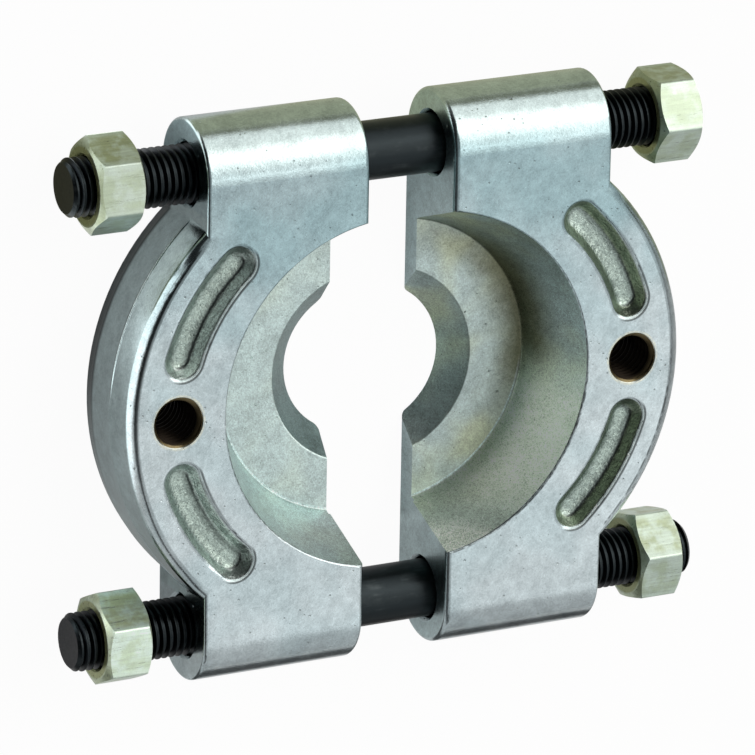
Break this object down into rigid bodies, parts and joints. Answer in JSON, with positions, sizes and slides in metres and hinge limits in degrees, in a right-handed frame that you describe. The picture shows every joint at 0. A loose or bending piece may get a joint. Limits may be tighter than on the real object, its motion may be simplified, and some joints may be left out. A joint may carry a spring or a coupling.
{
  "type": "bearing separator",
  "caption": "Half-round forged jaws with a stepped bearing recess, drawn together by threaded studs and hex nuts, for getting behind a bearing and pulling it.",
  "frame": {"origin": "on the flat back plane, midway between the jaws and between the studs", "axes": "+X along the studs, from the left jaw to the right jaw; +Y from the lower stud to the upper; +Z out of the recess, away from the back plane"},
  "size_m": [0.1865, 0.157, 0.03],
  "materials": {
    "jaw_plate": "bright zinc plate over a forging, satin",
    "black_stud": "black oxide, satin",
    "nut_plate": "pale yellow zinc plate, satin"
  },
  "bodies": {
    "left_jaw": {"left_jaw": "jaw_plate"},
    "right_jaw": {"right_jaw": "jaw_plate"},
    "upper_stud": {"upper_stud": "black_stud"},
    "lower_stud": {"lower_stud": "black_stud"},
    "upper_left_nut": {"upper_left_nut": "nut_plate"},
    "upper_right_nut": {"upper_right_nut": "nut_plate"},
    "lower_left_nut": {"lower_left_nut": "nut_plate"},
    "lower_right_nut": {"lower_right_nut": "nut_plate"}
  },
  "joints": [
    {"name": "right_jaw_slide", "type": "slide", "parent": "left_jaw", "child": "right_jaw", "axis": [1, 0, 0], "range_m": [-0.0247, 0.01465]},
    {"name": "upper_stud_slide", "type": "slide", "parent": "left_jaw", "child": "upper_stud", "axis": [1, 0, 0], "range_m": [-0.01635, 0.0152]},
    {"name": "lower_stud_slide", "type": "slide", "parent": "left_jaw", "child": "lower_stud", "axis": [1, 0, 0], "range_m": [-0.01465, 0.0125]},
    {"name": "upper_left_nut_run", "type": "slide", "parent": "upper_stud", "child": "upper_left_nut", "axis": [-1, 0, 0], "range_m": [-0.0152, 0.0057]},
    {"name": "upper_right_nut_run", "type": "slide", "parent": "upper_stud", "child": "upper_right_nut", "axis": [1, 0, 0], "range_m": [-0.01635, 0.0015]},
    {"name": "lower_left_nut_run", "type": "slide", "parent": "lower_stud", "child": "lower_left_nut", "axis": [-1, 0, 0], "range_m": [-0.0125, 0.0069]},
    {"name": "lower_right_nut_run", "type": "slide", "parent": "lower_stud", "child": "lower_right_nut", "axis": [1, 0, 0], "range_m": [-0.01465, 0.0045]}
  ]
}
